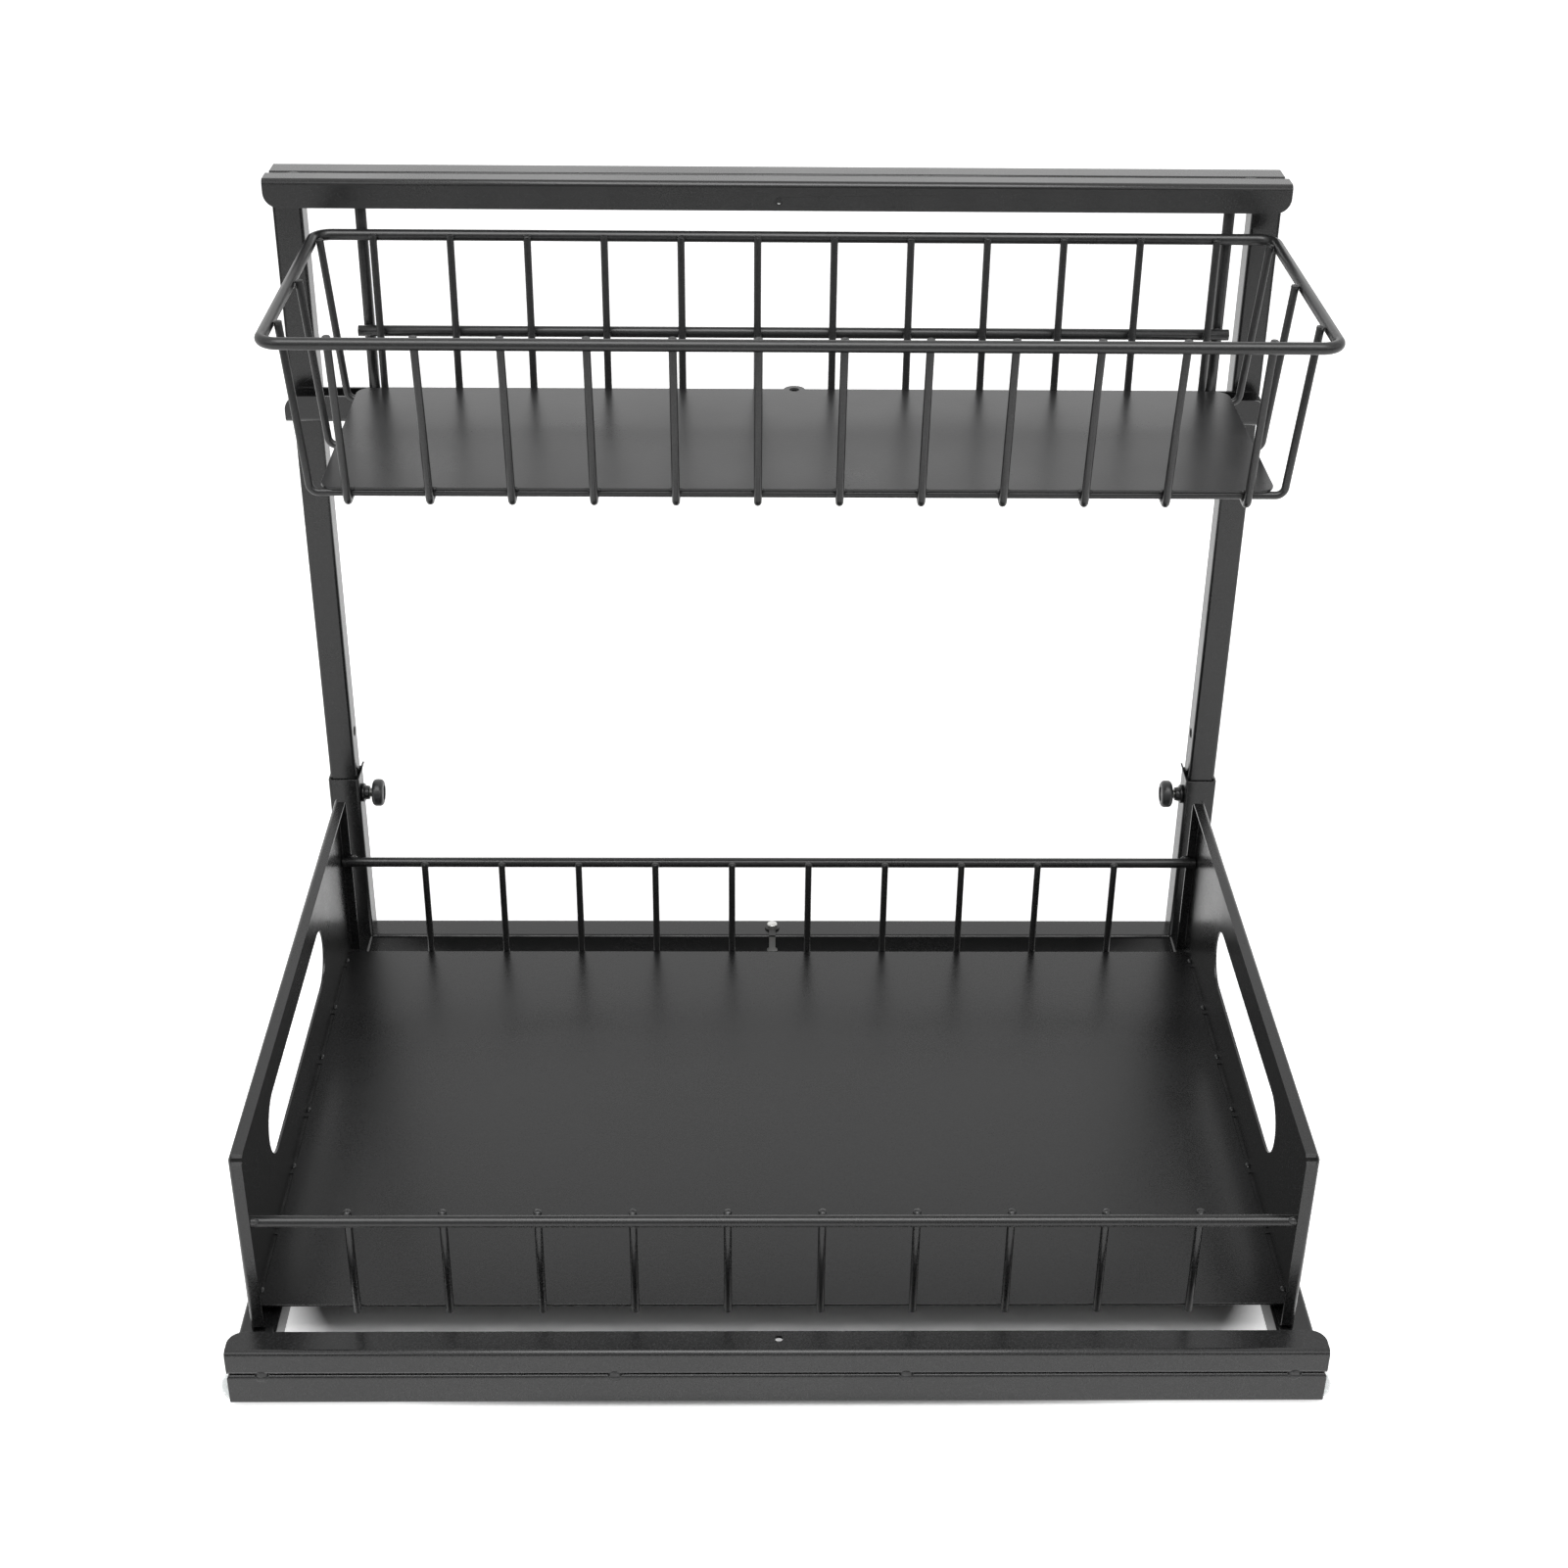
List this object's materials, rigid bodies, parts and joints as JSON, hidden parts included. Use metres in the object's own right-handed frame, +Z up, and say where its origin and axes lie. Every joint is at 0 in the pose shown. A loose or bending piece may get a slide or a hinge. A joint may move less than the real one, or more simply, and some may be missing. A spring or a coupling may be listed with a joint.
{
  "type": "under sink organizer",
  "caption": "Two-tier organizer: tube base with lift-out tray, height-adjustable rear frame and sideways sliding wire basket.",
  "frame": {"origin": "on the ground under the middle of the base", "axes": "+X to the right along the front tube, +Y from front to rear, +Z up"},
  "size_m": [0.4222, 0.3056, 0.3832],
  "materials": {
    "frame_paint": "fine black powder coat, satin",
    "tray_paint": "fine black powder coat, satin",
    "basket_paint": "fine black powder coat, satin",
    "knob_plastic": "moulded black plastic",
    "plated_steel": "zinc plated steel",
    "clear_cup": "translucent soft vinyl"
  },
  "bodies": {
    "base": {"front_tube": "frame_paint", "left_side_tube": "frame_paint", "right_side_tube": "frame_paint", "rear_tube": "frame_paint", "front_channel": "frame_paint", "left_sleeve": "frame_paint", "right_sleeve": "frame_paint", "left_weld_nut": "frame_paint", "right_weld_nut": "frame_paint", "rear_clip": "plated_steel", "clip_screw": "plated_steel", "front_left_cup": "clear_cup", "front_right_cup": "clear_cup", "rear_left_cup": "clear_cup", "rear_right_cup": "clear_cup"},
    "tray": {"left_side_panel": "tray_paint", "right_side_panel": "tray_paint", "tray_floor": "tray_paint", "tray_front_rod": "tray_paint", "tray_rear_rod": "tray_paint", "tray_front_wires": "tray_paint", "tray_rear_wires": "tray_paint"},
    "upper_frame": {"left_post": "frame_paint", "right_post": "frame_paint", "top_tube": "frame_paint", "top_channel": "frame_paint", "mid_channel": "frame_paint"},
    "basket": {"basket_rim": "basket_paint", "basket_cross_wires": "basket_paint", "front_long_wire": "basket_paint", "middle_long_wire": "basket_paint", "rear_long_wire": "basket_paint", "basket_floor": "basket_paint", "basket_cross_rod": "basket_paint", "left_upright": "basket_paint", "right_upright": "basket_paint"},
    "left_screw": {"left_thumb_screw": "plated_steel"},
    "left_knob_turn": {"left_knob": "knob_plastic"},
    "right_screw": {"right_thumb_screw": "plated_steel"},
    "right_knob_turn": {"right_knob": "knob_plastic"}
  },
  "joints": [
    {"name": "frame_height", "type": "slide", "parent": "base", "child": "upper_frame", "axis": [0, 0, 1], "range_m": [-0.0326, 0.0326]},
    {"name": "basket_slide", "type": "slide", "parent": "upper_frame", "child": "basket", "axis": [1, 0, 0], "range_m": [-0.032, 0.018]},
    {"name": "tray_lift", "type": "slide", "parent": "base", "child": "tray", "axis": [0, 0, 1], "range_m": [0, 0.15]},
    {"name": "left_screw_travel", "type": "slide", "parent": "base", "child": "left_screw", "axis": [-1, 0, 0], "range_m": [-0.003, 0.0012]},
    {"name": "left_knob_spin", "type": "hinge", "parent": "left_screw", "child": "left_knob_turn", "pos_m": [-0.1862, 0.14575, 0.0914], "axis": [-1, 0, 0], "range_deg": [-1543, 618]},
    {"name": "right_screw_travel", "type": "slide", "parent": "base", "child": "right_screw", "axis": [1, 0, 0], "range_m": [-0.003, 0.0012]},
    {"name": "right_knob_spin", "type": "hinge", "parent": "right_screw", "child": "right_knob_turn", "pos_m": [0.1862, 0.14575, 0.0914], "axis": [1, 0, 0], "range_deg": [-1543, 618]}
  ],
  "couplings": [
    {"joint": "left_knob_spin", "follows": "left_screw_travel", "rad_per_m": 8976},
    {"joint": "right_knob_spin", "follows": "right_screw_travel", "rad_per_m": 8976}
  ]
}
